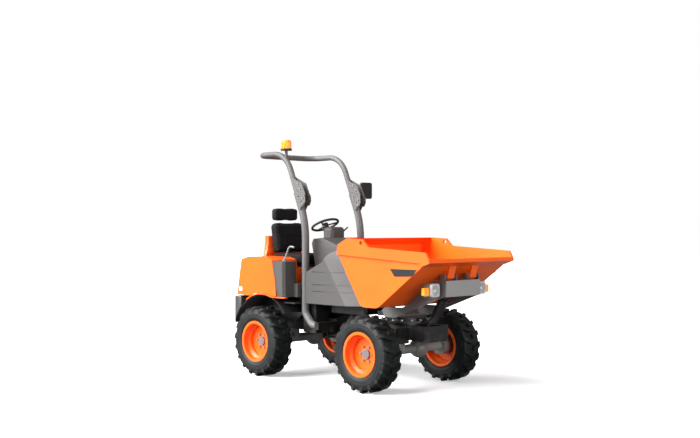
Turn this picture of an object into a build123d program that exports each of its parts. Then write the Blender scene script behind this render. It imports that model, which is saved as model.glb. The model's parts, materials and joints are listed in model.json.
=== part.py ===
from build123d import *
import os
from math import atan2, cos, degrees, pi, radians, sin, sqrt, tan

os.makedirs("parts", exist_ok=True)

# Compact articulated site dumper. Millimetres, +X forward (towards the skip), +Y left, +Z up.
# Origin: on the ground, under the middle of the machine's box.

# ---- running gear ----
wheel_base = 1573
front_axle_x = 615
rear_axle_x = front_axle_x - wheel_base
tyre_radius = 368  # out to the tips of the lugs
tyre_width = 240
wheel_y = 575  # centre plane of each tyre
axle_z = tyre_radius
tyre_facets = 18
tread_radius = 342  # tread base between the lugs
lug_count = 18  # on each half of the tread
lug_plan = [(-6, 34), (-6, -6), (118, -52), (118, -14)]  # across the tread, round it
lug_top = tyre_radius - 1.6  # flat tops, whose corners reach the tyre's radius
lug_shoulder = [(92, lug_top), (118, 340)]  # half width and radius
bead_seat_radius = 194
rim_flange_radius = 215
rim_flange_half = 112  # centre plane to the outer face of a flange
rim_wall = 6
rim_disc_wall = 10
rim_disc_offset = -8  # outer face of the disc from the centre plane
stud_circle = 150
stud_radius = 8
stud_count = 6
hub_flange_radius = 98
hub_boss_radius = 48
stub_radius = 30
axle_beam_radius = 46
axle_drum_radius = 92
axle_drum_end = 522
differential_radius = 98
differential_y = 150
press_gap = 0.3
running_gap = 0.06

# ---- frames and centre joint ----
pivot_x = rear_axle_x + 783
pivot_z = 545
pivot_pin_radius = 25
pivot_barrel_radius = 56
pivot_barrel_half = 92
pivot_ear_wall = 25
pivot_ear_radius = 42
trunnion_radius = 40
trunnion_start = 96  # ahead of the pin
trunnion_end = 235
trunnion_housing_radius = 66
frame_half_width = 170
frame_bottom = 470
frame_top = 620
rear_frame_back = -1285
rear_frame_front = -300
front_frame_end = 985
front_bracket_x = 750
steer_anchor = (-410, -140)
steer_arm_radius = 160
steer_arm_angle = -40
steer_z = 440
steer_eye_wall = 28
steer_ear_wall = 14
steer_ear_gap = 2
steer_pin_radius = 12
steer_rod_start = 115  # inner end of the rod from the foot pin

# ---- skip ----
skip_wall = 6
skip_half_width = 600
rail_out = 18  # how far the rim band stands outside the side plates
skip_bottom = 810
skip_back_foot_x = 555
skip_front_foot_x = 775
skip_foot_round = 90
skip_nose_round = 115
skip_back_top_x = 235
skip_back_top_z = 1310
rail_height = 90
skip_crown = (377, 1465)
ear_front = (587, 1456)
ear_foot = (668, 1381)
rail_front = (1395, 1343)
lip_top = (1435, 1283)
lip_tip = (1444, 1248)
floor_front = (1335, 1210)
lifting_eye_radius = 20
lifting_eye_at = (570, 1421)
tilt_x = 1280
tilt_z = 1110
tilt_pin_radius = 15
tilt_lug_y = 161
tilt_lug_wall = 92
tilt_ear_wall = 12
tilt_ear_gap = 28

# ---- skip carrier and lamps ----
carrier_half = 250
carrier_wall = 8
carrier_back = (488, 758)
carrier_heel_x = 530
carrier_bottom = 693
carrier_knee_x = 670
carrier_front = (1245, 905)
carrier_nose_x = 1318
carrier_floor_gap = 12  # square to the skip floor
turntable_radius = 262
turntable_x = 585
turntable_z = 640
turntable_wall = 22
plate_half = 246
plate_bottom = 925
plate_top = 1075
plate_wall = 6
rest_back_x = 432
rest_bottom = 705
rest_top = 748
headlamp_x = 1277
headlamp_depth = 90
headlamp_y = 339
headlamp_width = 110
headlamp_bottom = 926
headlamp_height = 124
amber_x = 1251
amber_depth = 35
amber_width = 62
amber_bottom = 940
amber_height = 75

# ---- tipping ram ----
ram_foot = (850, 500)
ram_head = (1146, 1013)
ram_barrel_radius = 42
ram_rod_radius = 24
ram_pin_radius = 15
ram_barrel_length = 440
ram_rod_start = 70

# ---- body work at the back ----
body_half = 600
weight_back = -1444
weight_corner = 28
weight_front = -1305
weight_bottom = 536
weight_top = 825
arch_radius = 492
arch_wall = 6
cover_wall = 6
cover_bottom_rear = (-1372, 841)
cover_front = [(-783, 1228), (-731, 997), (-715, 853)]  # front edge, downwards
cover_crease = (-1313, 1172)
cover_top_rear = (-1299, 1226)
cover_hinge = (-1350, 858)
cover_notch_top = 876
recess_half = 262
recess_floor = 1142
recess_back = -1262
hump_top = 1475
hump_side = [(300, 1226), (262, 1262), (244, 1330), (232, 1400)]  # half width and height
hump_back = -1345
hump_front = -1290
engine_box = ((-1270, -220, 640), (-800, 220, 1080))

# ---- seat ----
seat_half = 235
cushion_back = -1232
cushion_front = -735
cushion_height = 112
back_top = 1630
back_wall = 104
back_half = 220
back_lean = 8
headrest_bottom = 1645
headrest_top = 1784
headrest_half = 168
headrest_back = -1325
headrest_wall = 82

# ---- operator's place ----
floor_z = 790
floor_wall = 6
floor_back = -684
floor_front_x = 350
pod_back = [(-776, 1228), (-692, 853)]  # follows the cover's front edge
pod_front = -588
pod_step = 430  # inner side of the tall part
pod_top = 1215
ledge_z = 985
ledge_front = -520
ledge_half = 470
pod_bottom = 845
pod_inner = 300
console_half = 440
console_wall = 6
console_bottom_front = (420, 800)
console_top_front = (62, 1340)
console_back = [(-422, 1108), (-176, 1217), (-100, 1310), (-30, 1338)]  # from the knee up to the crown
console_nose_half = 335
console_taper = 260
console_grooves = (1113, 983, 915)
tank_box = ((-290, -230, 690), (240, 230, 784))
dash_half = 300
dash_top = [(-490, 1405), (-462, 1450), (-330, 1462), (-120, 1392)]
cowl_box = ((-546, -100, 1330), (-396, 100, 1575))
wheel_hub = (-610, 1597)
wheel_tilt = 24.6
wheel_rim_radius = 157
wheel_tube_radius = 13
column_radius = 24

# ---- roll-over bar ----
bar_radius = 38
hoop_radius = 30
bar_y = 400
leg_x = -472
leg_corner_z = 1624
bar_lean = 23.4
bar_top_z = 2355
bar_top_bend = 290
bar_back_x = -1275
fold_pivot = (-500, 1842)
fold_pin_radius = 10
fold_plate_wall = 8
fold_split_z = 1939
fold_gap = 6
fold_leg_plate = [(12, -49), (45, -42), (66, 0), (64, 40), (56, 66)]  # edge round the pivot
fold_hoop_plate = [(56, 76), (0, 186)]
foot_plate_x = -290
foot_z = 560
beacon_x = -785
beacon_seat_z = 2386
mirror_x = -528
mirror_z = (1886, 2065)
mirror_y = (452, 617)
mirror_arm_z = 1990
lever_foot = (-735, -470)
lever_bend = (-650, 1372)
lever_tip = (-575, 1362)


def prism_xz(points, y0, y1, rounds=()):
    """Solid with its outline in X and Z, from y0 to y1; rounds pairs a corner's place in the list with a radius."""
    face = make_face(Polyline(*points, close=True))
    for k, radius in rounds:
        corner = face.vertices().sort_by_distance((points[k][0], points[k][1], 0))[0]
        face = fillet(corner, radius)
    return extrude(Plane.XZ.offset(-y1) * face, amount=y1 - y0)


def prism_yz(points, x0, x1):
    face = make_face(Polyline(*points, close=True))
    return extrude(Plane.YZ.offset(x0) * face, amount=x1 - x0)


def prism_xy(points, z0, z1):
    face = make_face(Polyline(*points, close=True))
    return extrude(Plane.XY.offset(z0) * face, amount=z1 - z0)


def block(x0, x1, y0, y1, z0, z1):
    size = Box(x1 - x0, y1 - y0, z1 - z0, align=(Align.MIN, Align.MIN, Align.MIN))
    return Pos(x0, y0, z0) * size


def rod(start, axis, radius, length):
    """Round bar from a start point along an axis."""
    bar = Cylinder(radius, length, align=(Align.CENTER, Align.CENTER, Align.MIN))
    return Plane(origin=start, z_dir=axis) * bar


def cross_pin(x, z, radius, y0, y1):
    return rod((x, y0, z), (0, 1, 0), radius, y1 - y0)


def mirrored(solid):
    return mirror(solid, about=Plane.XZ)


def both(solid):
    return solid + mirrored(solid)


def write(name, solid):
    export_step(solid, "parts/" + name + ".step")


# ---------------------------------------------------------------- wheels
def facet_loop(radius, y):
    """Corners of the polygon across the wheel axis whose flats are at the radius."""
    corner = radius / cos(pi / tyre_facets)
    turn = [2 * pi * k / tyre_facets for k in range(tyre_facets)]
    return [Vector(corner * cos(a), y, corner * sin(a)) for a in turn]


def flat_face(*corners):
    return Face(Wire.make_polygon(corners, close=True))


def facet_solid(rings):
    """Solid between polygons given as (half width, radius) pairs; every facet is a plane."""
    loops = [facet_loop(radius, y) for y, radius in rings]
    faces = [flat_face(*loops[0]), flat_face(*loops[-1])]
    for first, second in zip(loops, loops[1:]):
        faces += [flat_face(first[k - 1], first[k], second[k], second[k - 1]) for k in range(tyre_facets)]
    return Solid(Shell(faces))


def tyre_ring(side):
    """Ring of facets from half widths and radii listed from the rim up to the crown."""
    corner_cut = cos(pi / tyre_facets)
    return facet_solid([(-y, r * corner_cut) for y, r in side] + [(y, r * corner_cut) for y, r in reversed(side)])


def tread_lugs():
    """Slanted bars of the tread, cut off over the shoulders; the two halves are half a pitch apart."""
    side = [(-10, 300), (-10, lug_top)] + lug_shoulder + [(lug_shoulder[1][0], 300)]
    bar = prism_xy([(v, u) for u, v in lug_plan], tread_radius - 22, lug_top)
    bar &= prism_yz(side, -100, 100)
    lugs = []
    for k in range(2 * lug_count):
        half = bar if k % 2 else mirrored(bar)
        lugs.append(Rot(0, 180 / lug_count * k, 0) * half)
    return lugs


def tyre_at_origin():
    half = tyre_width / 2
    body = tyre_ring([(half, 292), (half - 22, tread_radius)]) + tread_lugs()
    bead = rim_flange_half - rim_wall - press_gap
    well = facet_solid([(bead, rim_flange_radius + 3), (half + 1, 256)])
    bore = facet_solid([(y, bead_seat_radius + press_gap) for y in (-half, half)])
    return body - bore - well - mirrored(well)


def rim_at_origin():
    """Rim with its outer side towards -Y."""
    out, inner = rim_flange_radius, bead_seat_radius - rim_wall
    edge, seat = rim_flange_half, bead_seat_radius
    well = 62
    depth = 26
    outline = [
        (seat, edge - rim_wall), (out, edge - rim_wall), (out, edge), (inner, edge),
        (inner, well), (inner - depth, well - depth), (inner - depth, -well + depth), (inner, -well),
        (inner, -edge), (out, -edge), (out, rim_wall - edge), (seat, rim_wall - edge),
        (seat, -well - 3), (seat - depth, depth - well - 3), (seat - depth, well + 3 - depth),
        (seat, well + 3),
    ]
    barrel = revolve(make_face(Polyline(*outline, close=True)), axis=Axis.Y)
    disc_face = rim_disc_offset
    disc = rod((0, disc_face, 0), (0, 1, 0), inner - depth + 1, rim_disc_wall)
    disc -= rod((0, disc_face - 1, 0), (0, 1, 0), hub_boss_radius + press_gap, rim_disc_wall + 2)
    for k in range(stud_count):
        disc -= rod(stud_place(k, disc_face - 1), (0, 1, 0), stud_radius + press_gap, rim_disc_wall + 2)
    return barrel + disc


def stud_place(k, y):
    a = 2 * pi * k / stud_count
    return (stud_circle / 2 * cos(a), y, stud_circle / 2 * sin(a))


def hub_at_origin():
    """Wheel hub with its outer side towards -Y; it runs on the axle's stub."""
    back = rim_disc_offset + rim_disc_wall
    start = wheel_y - axle_drum_end - press_gap
    hub = rod((0, back, 0), (0, 1, 0), hub_flange_radius, start - back)
    hub += rod((0, rim_disc_offset - 18, 0), (0, 1, 0), hub_boss_radius, back - rim_disc_offset + 18)
    for k in range(stud_count):
        hub += rod(stud_place(k, rim_disc_offset), (0, 1, 0), stud_radius, rim_disc_wall + 1)
        nut = Plane(origin=stud_place(k, rim_disc_offset), z_dir=(0, -1, 0)) * extrude(
            RegularPolygon(stud_radius * 1.7, 6), amount=14
        )
        hub += nut
    return hub - rod((0, rim_disc_offset + 2, 0), (0, 1, 0), stub_radius + running_gap, 200)


def write_wheels():
    tyre, rim, hub = tyre_at_origin(), rim_at_origin(), hub_at_origin()
    places = (("front_right", front_axle_x, -1), ("front_left", front_axle_x, 1),
              ("rear_right", rear_axle_x, -1), ("rear_left", rear_axle_x, 1))
    for name, x, side in places:
        spot = Pos(x, side * wheel_y, axle_z)
        write("tyre_" + name, spot * tyre)
        if side > 0:
            spot = spot * Rot(0, 0, 180)
        write("rim_" + name, spot * rim)
        write("hub_" + name, spot * hub)


def axle(x):
    beam = cross_pin(x, axle_z, axle_beam_radius, -axle_drum_end + 20, axle_drum_end - 20)
    beam += Pos(x, differential_y, axle_z) * Sphere(differential_radius)
    for side in (-1, 1):
        start = (x, side * (axle_drum_end - 75), axle_z)
        beam += rod(start, (0, side, 0), axle_drum_radius, 75)
        beam += rod((x, side * (axle_drum_end - 10), axle_z), (0, side, 0), stub_radius, 52)
    return beam


def axle_pads(x, half, top):
    pad = block(x - 55, x + 55, half - 60, half, axle_z, top)
    return both(pad)


# ---------------------------------------------------------------- centre joint
def fork_plates(x, y, z, radius, back):
    """Two plates above and below an eye, reaching back to a web."""
    fork = None
    half = steer_eye_wall / 2 + steer_ear_gap
    for z0 in (z - half - steer_ear_wall, z + half):
        plate = rod((x, y, z0), (0, 0, 1), radius, steer_ear_wall)
        plate += block(x - back, x, y - radius, y + radius, z0, z0 + steer_ear_wall)
        fork = plate if fork is None else fork + plate
    return fork


def rear_frame():
    rail = block(rear_frame_back, rear_frame_front, 110, frame_half_width, frame_bottom, frame_top)
    frame = both(rail)
    for x in (rear_frame_back, rear_axle_x + 70, rear_frame_front - 60):
        frame += block(x, x + 60, -frame_half_width, frame_half_width, frame_bottom, frame_top)
    head = pivot_z + pivot_barrel_half
    foot = pivot_z - pivot_barrel_half
    for z in (head + 1, foot - 1 - pivot_ear_wall):
        ear = block(rear_frame_front - 62, pivot_x, -pivot_ear_radius, pivot_ear_radius, z, z + pivot_ear_wall)
        ear += rod((pivot_x, 0, z), (0, 0, 1), pivot_ear_radius, pivot_ear_wall)
        frame += ear
    frame += block(rear_frame_front - 62, rear_frame_front, -70, 70, foot - 26, head + 26)
    frame += rod((pivot_x, 0, foot - 34), (0, 0, 1), pivot_pin_radius, head - foot + 68)
    ax, ay = steer_anchor
    half = steer_eye_wall / 2 + steer_ear_gap + steer_ear_wall
    frame += fork_plates(ax, ay, steer_z, 24, 60)
    frame += block(ax - 60, ax - 30, ay - 24, ay + 24, steer_z - half, frame_bottom)
    frame += rod((ax, ay, steer_z - half - 4), (0, 0, 1), steer_pin_radius, 2 * half + 4)
    outrigger = block(foot_plate_x, foot_plate_x + 60, frame_half_width, bar_y + bar_radius, foot_z - bar_radius, foot_z + bar_radius)
    outrigger += block(rear_frame_front - 62, foot_plate_x + 60, frame_half_width, frame_half_width + 12, foot_z - bar_radius, frame_top)
    return frame + both(outrigger)


def centre_yoke():
    yoke = rod((pivot_x, 0, pivot_z - pivot_barrel_half), (0, 0, 1), pivot_barrel_radius, 2 * pivot_barrel_half)
    yoke += rod((pivot_x, 0, pivot_z), (1, 0, 0), trunnion_radius + 12, trunnion_start - 1)
    yoke += rod((pivot_x, 0, pivot_z), (1, 0, 0), trunnion_radius, trunnion_end)
    turn = Pos(pivot_x, 0, 0) * Rot(0, 0, steer_arm_angle)
    arm = Pos(steer_arm_radius, 0, 0) * fork_plates(0, 0, steer_z, 20, steer_arm_radius)
    keep = block(0, 400, -100, 100, steer_z, frame_top) + block(72, 400, -100, 100, 0, steer_z)
    arm = arm & keep
    half = steer_eye_wall / 2 + steer_ear_gap
    arm += block(64, 88, -10, 10, steer_z - half - 1, steer_z + half + 1)
    yoke += turn * arm
    return yoke - rod((pivot_x, 0, pivot_z - 200), (0, 0, 1), pivot_pin_radius + running_gap, 400)


def front_frame():
    start = pivot_x + trunnion_start
    frame = rod((start, 0, pivot_z), (1, 0, 0), trunnion_housing_radius, trunnion_end - trunnion_start + 20)
    back = start + 60
    frame += both(block(back, front_frame_end, 110, frame_half_width, frame_bottom + 10, frame_top))
    for x0, x1 in ((back, back + 130), (front_axle_x - 55, front_axle_x + 55), (ram_foot[0] - 110, ram_foot[0] - 50)):
        frame += block(x0, x1, -frame_half_width, frame_half_width, frame_bottom + 10, frame_top)
    frame += block(front_frame_end - 12, front_frame_end, -160, 160, frame_bottom - 5, frame_top - 3)
    bracket = block(front_bracket_x - 12, front_bracket_x + 12, frame_half_width - 20, 310, frame_bottom - 24, frame_top - 20)
    frame += both(bracket)
    x, z = ram_foot
    for y0 in (22, -34):
        frame += block(x - 60, x, y0, y0 + 12, z - 28, z + 28) + cross_pin(x, z, 28, y0, y0 + 12)
    frame += cross_pin(x, z, ram_pin_radius, -38, 38)
    return frame - rod((start - 1, 0, pivot_z), (1, 0, 0), trunnion_radius + running_gap, trunnion_end - trunnion_start + 2)


# ---------------------------------------------------------------- skip
def floor_slope():
    fx, fz = floor_front
    return (fz - skip_bottom) / (fx - skip_front_foot_x)


def skip_shell():
    t = skip_wall
    slope = floor_slope()
    drop = t * sqrt(1 + slope * slope)
    back = (skip_back_foot_x - skip_back_top_x) / (skip_back_top_z - skip_bottom)
    step = t * sqrt(1 + back * back)
    rail_back = skip_back_top_x + 10
    rail_z = skip_back_top_z + rail_height
    low = [(skip_back_foot_x, skip_bottom), (skip_front_foot_x, skip_bottom), floor_front,
           (rail_front[0], rail_front[1] - rail_height), (rail_back - 10, skip_back_top_z)]
    high = [(rail_back - 10, skip_back_top_z - 4), (rail_front[0] + 8, rail_front[1] - rail_height - 13),
            lip_tip, lip_top, rail_front, ear_foot, ear_front, skip_crown, (rail_back, rail_z)]
    lip = [floor_front, lip_tip, lip_top, (lip_top[0] - 14, lip_top[1]), (floor_front[0] - 10, floor_front[1] + 40)]
    inside = [(skip_back_foot_x + step, skip_bottom + t), (skip_front_foot_x - drop, skip_bottom + t),
              (floor_front[0] - 6, floor_front[1] + drop - 3), (lip_tip[0] - 20, lip_tip[1] + 6),
              (lip_top[0] - 8, lip_top[1]), (lip_top[0] + 60, lip_top[1]), (lip_top[0] + 60, 1600),
              (skip_crown[0] + step + 30, 1600), (skip_crown[0] + step, skip_crown[1]),
              (rail_back + step, rail_z - 4), (rail_back + step - 10, skip_back_top_z)]
    wide = skip_half_width + rail_out
    shell = prism_xz(low, -skip_half_width, skip_half_width, [(0, skip_foot_round), (1, skip_nose_round)])
    shell += prism_xz(high, -wide, wide) + prism_xz(lip, -wide, wide)
    rounds = [(0, skip_foot_round - t), (1, skip_nose_round - t)]
    shell -= prism_xz(inside, -skip_half_width + t, skip_half_width - t, rounds)
    x, z = lifting_eye_at
    shell -= cross_pin(x, z, lifting_eye_radius, -wide - 1, wide + 1)
    return shell


def floor_z_at(x):
    return skip_bottom + floor_slope() * (x - skip_front_foot_x)


def skip_hinge_lug():
    half = tilt_lug_wall / 2
    outline = [(tilt_x - 24, tilt_z), (tilt_x - 70, floor_z_at(tilt_x - 70)), (tilt_x + 55, floor_z_at(tilt_x + 55)),
               (tilt_x + 24, tilt_z)]
    lug = prism_xz(outline, tilt_lug_y - half, tilt_lug_y + half)
    lug += cross_pin(tilt_x, tilt_z, 26, tilt_lug_y - half, tilt_lug_y + half)
    return lug - cross_pin(tilt_x, tilt_z, tilt_pin_radius + running_gap, 0, 400)


def ram_clevis():
    x, z = ram_head
    outline = [(x - 22, z), (x - 60, floor_z_at(x - 60)), (x + 30, floor_z_at(x + 30)), (x + 22, z)]
    lug = prism_xz(outline, 26, 38) + cross_pin(x, z, 24, 26, 38) - cross_pin(x, z, ram_pin_radius, 0, 100)
    back, front = x - 66, x + 36
    plate = prism_xz([(back, floor_z_at(back)), (front, floor_z_at(front)), (front, floor_z_at(front) - 12),
                      (back, floor_z_at(back) - 12)], -50, 50)
    return both(lug) + plate


# ---------------------------------------------------------------- carrier
def carrier_level():
    return skip_bottom - carrier_floor_gap * sqrt(1 + floor_slope() ** 2)


def carrier():
    line = carrier_level()
    top_x = skip_front_foot_x + (plate_top - 3 - line) / floor_slope()
    outline = [(carrier_heel_x, carrier_bottom), (carrier_knee_x, carrier_bottom), carrier_front,
               (carrier_nose_x, plate_bottom + 4), (carrier_nose_x, plate_top - 3), (top_x, plate_top - 3),
               (skip_front_foot_x, line), (carrier_back[0] + 52, line), carrier_back]
    w = carrier_wall
    inner = carrier_half - w
    side = both(prism_xz(outline, inner, carrier_half, [(6, skip_nose_round + carrier_floor_gap)]))
    low = [(carrier_heel_x, carrier_bottom), (carrier_knee_x, carrier_bottom), (carrier_knee_x - 3, carrier_bottom + w),
           (carrier_heel_x - 3, carrier_bottom + w)]
    heel = [carrier_back, (carrier_heel_x, carrier_bottom), (carrier_heel_x + w, carrier_bottom), (carrier_back[0] + w, carrier_back[1])]
    side += prism_xz(low, -inner, inner) + prism_xz(heel, -inner, inner)
    side += block(carrier_nose_x - w, carrier_nose_x, -inner, inner, plate_bottom + 4, plate_top - 3)
    side += block(carrier_nose_x - 110, carrier_nose_x - 2, -inner, inner, plate_top - 3 - w, plate_top - 3)
    ear_out = tilt_lug_y + tilt_lug_wall / 2 + tilt_ear_gap
    ear_in = tilt_lug_y - tilt_lug_wall / 2 - tilt_ear_gap
    for y0 in (ear_out, ear_in - tilt_ear_wall):
        ear = block(tilt_x - 28, tilt_x + 28, y0, y0 + tilt_ear_wall, plate_top - 10, tilt_z)
        side += both(ear + cross_pin(tilt_x, tilt_z, 28, y0, y0 + tilt_ear_wall))
    side += both(cross_pin(tilt_x, tilt_z, tilt_pin_radius, ear_in - tilt_ear_wall - 4, ear_out + tilt_ear_wall))
    return side


def skip_rest():
    """Cross beam against the carrier's slanted back edge."""
    run = (carrier_heel_x - carrier_back[0]) / (carrier_back[1] - carrier_bottom)
    front = [(carrier_back[0] + run * (carrier_back[1] - z), z) for z in (rest_bottom, rest_top)]
    outline = [(rest_back_x, rest_bottom)] + front + [(rest_back_x, rest_top)]
    return prism_xz(outline, -carrier_half, carrier_half)


def turntable():
    disc = rod((turntable_x, 0, turntable_z), (0, 0, 1), turntable_radius, turntable_wall)
    disc += rod((turntable_x, 0, frame_top), (0, 0, 1), turntable_radius - 60, turntable_z - frame_top)
    disc += rod((turntable_x, 0, turntable_z), (0, 0, 1), turntable_radius - 60, carrier_bottom - turntable_z)
    return disc


def lamp_mount(side):
    """Arm behind a headlamp with a plate between the two lamps and a pad behind the amber one."""
    out = headlamp_y + headlamp_width / 2
    back = headlamp_x - headlamp_depth
    low, high = headlamp_bottom, headlamp_bottom + headlamp_height
    arm = block(back - 6, back, carrier_half, out + 7, low + 20, high)
    arm += block(back - 6, amber_x - 4, out + 1, out + 7, low, high)
    arm += block(amber_x - amber_depth - 6, amber_x - amber_depth, out + 1, out + 70, amber_bottom + 8, amber_bottom + amber_height - 8)
    return arm if side > 0 else mirrored(arm)


def headlamp(side):
    y0 = headlamp_y - headlamp_width / 2
    lamp = block(headlamp_x - headlamp_depth, headlamp_x, y0, y0 + headlamp_width,
                 headlamp_bottom, headlamp_bottom + headlamp_height)
    lamp = fillet(lamp.edges().filter_by(Axis.X), 12)
    return lamp if side > 0 else mirrored(lamp)


def amber_lamp(side):
    y0 = headlamp_y + headlamp_width / 2 + 10
    lamp = block(amber_x - amber_depth, amber_x, y0, y0 + amber_width, amber_bottom, amber_bottom + amber_height)
    lamp = fillet(lamp.edges().filter_by(Axis.X), 10)
    return lamp if side > 0 else mirrored(lamp)


# ---------------------------------------------------------------- cylinders
def cylinder_pair(foot, head, barrel_radius, rod_radius, rod_start, eye_radius, pin, length, wall):
    """Barrel and rod lying along X from the origin; the eyes' bores run along Z."""
    reach = sqrt(sum((b - a) ** 2 for a, b in zip(foot, head)))
    neck = eye_radius + 8
    barrel = Pos(0, 0, -wall / 2) * Cylinder(eye_radius, wall, align=(Align.CENTER, Align.CENTER, Align.MIN))
    barrel += block(0, neck + 4, -eye_radius * 0.7, eye_radius * 0.7, -wall / 2, wall / 2)
    barrel += rod((neck, 0, 0), (1, 0, 0), barrel_radius, length - neck)
    barrel -= rod((0, 0, -wall), (0, 0, 1), pin + running_gap, 2 * wall)
    barrel -= rod((eye_radius + 22, 0, 0), (1, 0, 0), rod_radius + running_gap, length)
    piston = rod((rod_start, 0, 0), (1, 0, 0), rod_radius, reach - rod_start - 10)
    eye = Pos(reach, 0, -wall / 2) * Cylinder(eye_radius, wall, align=(Align.CENTER, Align.CENTER, Align.MIN))
    eye += block(reach - eye_radius - 16, reach, -eye_radius * 0.6, eye_radius * 0.6, -wall / 2, wall / 2)
    piston += eye
    piston -= rod((reach, 0, -wall), (0, 0, 1), pin + 1, 2 * wall)
    return barrel, piston


def steering_cylinder():
    a = radians(steer_arm_angle)
    tip = (pivot_x + steer_arm_radius * cos(a), steer_arm_radius * sin(a))
    barrel, piston = cylinder_pair(steer_anchor, tip, 26, 13, steer_rod_start, 20, steer_pin_radius, 215, steer_eye_wall)
    turn = degrees(atan2(tip[1] - steer_anchor[1], tip[0] - steer_anchor[0]))
    spot = Pos(steer_anchor[0], steer_anchor[1], steer_z) * Rot(0, 0, turn)
    return spot * barrel, spot * piston


def tipping_ram():
    barrel, piston = cylinder_pair(ram_foot, ram_head, ram_barrel_radius, ram_rod_radius, ram_rod_start, 30,
                                   ram_pin_radius, ram_barrel_length, 40)
    rise = degrees(atan2(ram_head[1] - ram_foot[1], ram_head[0] - ram_foot[0]))
    spot = Pos(ram_foot[0], 0, ram_foot[1]) * Rot(0, -rise, 0) * Rot(90, 0, 0)
    return spot * barrel, spot * piston


# ---------------------------------------------------------------- rear body
def counterweight():
    r = weight_corner
    plan = [(weight_front, -body_half), (weight_back + r, -body_half), (weight_back, -body_half + 90),
            (weight_back, body_half - 90), (weight_back + r, body_half), (weight_front, body_half)]
    weight = prism_xy(plan, weight_bottom, weight_top)
    return weight - cross_pin(rear_axle_x, axle_z, arch_radius, -700, 700) + cover_hinge_lugs()


def arch_outline(radius):
    """Points of a wheel-arch curve over the rear wheel, from back to front."""
    first, last, steps = 160, 40, 12
    turns = [radians(first + (last - first) * k / steps) for k in range(steps + 1)]
    return [(rear_axle_x + radius * cos(a), axle_z + radius * sin(a)) for a in turns]


def wheel_arch(side):
    outer = arch_outline(arch_radius - 1)
    inner = arch_outline(arch_radius - 1 - arch_wall)
    arch = prism_xz(outer + inner[::-1], 300, body_half - 10)
    back = prism_xz(outer + [(rear_axle_x + 200, axle_z + 200), (rear_axle_x - 300, axle_z + 150)], 300, 306)
    arch += back
    return arch if side > 0 else mirrored(arch)


def fender_lip(side):
    """Flat orange edge over the arch, level towards the front."""
    turns = [radians(a) for a in (122, 114, 106, 98, 90, 84, 78, 73)]
    radius = arch_radius + 1
    top = [(rear_axle_x + radius * cos(a), axle_z + radius * sin(a)) for a in turns]
    upper = [(px, pz + 12) for px, pz in top]
    tip = pod_front + 10
    outline = upper + [(-700, pod_bottom), (tip, pod_bottom), (tip, pod_bottom - 12), (-760, pod_bottom - 12)] + top[::-1]
    lip = prism_xz(outline, body_half - 40, body_half)
    return lip if side > 0 else mirrored(lip)


def cover_outline(w):
    """Side view of the cover; w moves it inwards."""
    front = [(px - w, pz) for px, pz in cover_front[1:]]
    top_x, top_z = cover_front[0]
    return [(cover_bottom_rear[0] + w, cover_bottom_rear[1]), (cover_crease[0] + w, cover_crease[1]),
            (cover_top_rear[0] + w, cover_top_rear[1] - w), (cover_top_rear[0] + 120, 1256 - w),
            (top_x - 90, 1252 - w), (top_x - w, top_z - w)] + front + [
            (rear_axle_x + 138, front[-1][1]), (rear_axle_x + 138, cover_bottom_rear[1])]


def engine():
    (x0, y0, z0), (x1, y1, z1) = engine_box
    body = block(x0, x1, y0, y1, z0, z1)
    for x in (x0 + 40, x1 - 80):
        body += both(block(x, x + 60, 120, frame_half_width - 10, frame_top, z0))
    return body


def hump(w):
    """Raised back of the cover behind the seat, with hollowed flanks."""
    side = [(y - w, z) for y, z in hump_side] + [(hump_side[-1][0] - w, hump_top - w)]
    base = [(side[0][0], 1195)] + side
    outline = base + [(-y, z) for y, z in reversed(base)]
    return prism_yz(outline, hump_back + w, hump_front - w)


def engine_cover():
    w = cover_wall
    shell = prism_xz(cover_outline(0), -body_half, body_half) + hump(0)
    shell -= prism_xz(cover_outline(w), -body_half + w, body_half - w) + hump(w)
    shell -= block(cover_bottom_rear[0] + w, cover_front[-1][0] - w, -body_half + w, body_half - w, 700, cover_front[-1][1] + 1)
    shell -= cross_pin(rear_axle_x, axle_z, arch_radius + 16, -body_half - 1, body_half + 1)
    tub = block(recess_back - w, -700, -recess_half - w, recess_half + w, recess_floor - w, 1300)
    tub &= prism_xz(cover_outline(0), -body_half, body_half)
    shell += tub
    shell -= block(recess_back, -600, -recess_half, recess_half, recess_floor, 1300)
    x, z = cover_hinge
    shell -= both(block(cover_bottom_rear[0] - 20, x + 30, 126, 224, 800, cover_notch_top))
    knuckle = block(x - 14, x + 6, 150, 200, z, cover_notch_top + 10) + cross_pin(x, z, 9, 150, 200)
    knuckle -= cross_pin(x, z, 6 + running_gap, 100, 300)
    return shell + both(knuckle)


def cover_hinge_lugs():
    x, z = cover_hinge
    lugs = None
    for y0 in (131, 203):
        lug = block(x - 9, x + 9, y0, y0 + 16, weight_top, z) + cross_pin(x, z, 9, y0, y0 + 16)
        lugs = lug if lugs is None else lugs + lug
    lugs += cross_pin(x, z, 6, 131, 219)
    return both(lugs)


# ---------------------------------------------------------------- seat
def seat_cushion():
    pad = block(cushion_back, cushion_front, -seat_half, seat_half, recess_floor + 30, recess_floor + 30 + cushion_height)
    return fillet(pad.edges().filter_by(Axis.Z), 50)


def seat_plinth():
    return block(cushion_back + 40, cushion_front - 40, -seat_half + 40, seat_half - 40, recess_floor, recess_floor + 30)


def seat_back():
    pad = block(0, back_wall, -back_half, back_half, -30, back_top - recess_floor - 142)
    pad = fillet(pad.edges().filter_by(Axis.X), 60)
    pad = Pos(cushion_back - 20, 0, recess_floor + 142) * Rot(0, -back_lean, 0) * pad
    return pad & block(-1500, -1000, -300, 300, recess_floor + 30.3 + cushion_height, back_top)


def headrest():
    pad = block(0, headrest_wall, -headrest_half, headrest_half, headrest_bottom, headrest_top)
    pad = fillet(pad.edges().filter_by(Axis.X), 35)
    pad += both(rod((50, 60, back_top + 0.3), (0, 0, 1), 7, headrest_bottom - back_top + 5))
    return Pos(headrest_back, 0, 0) * pad


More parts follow.
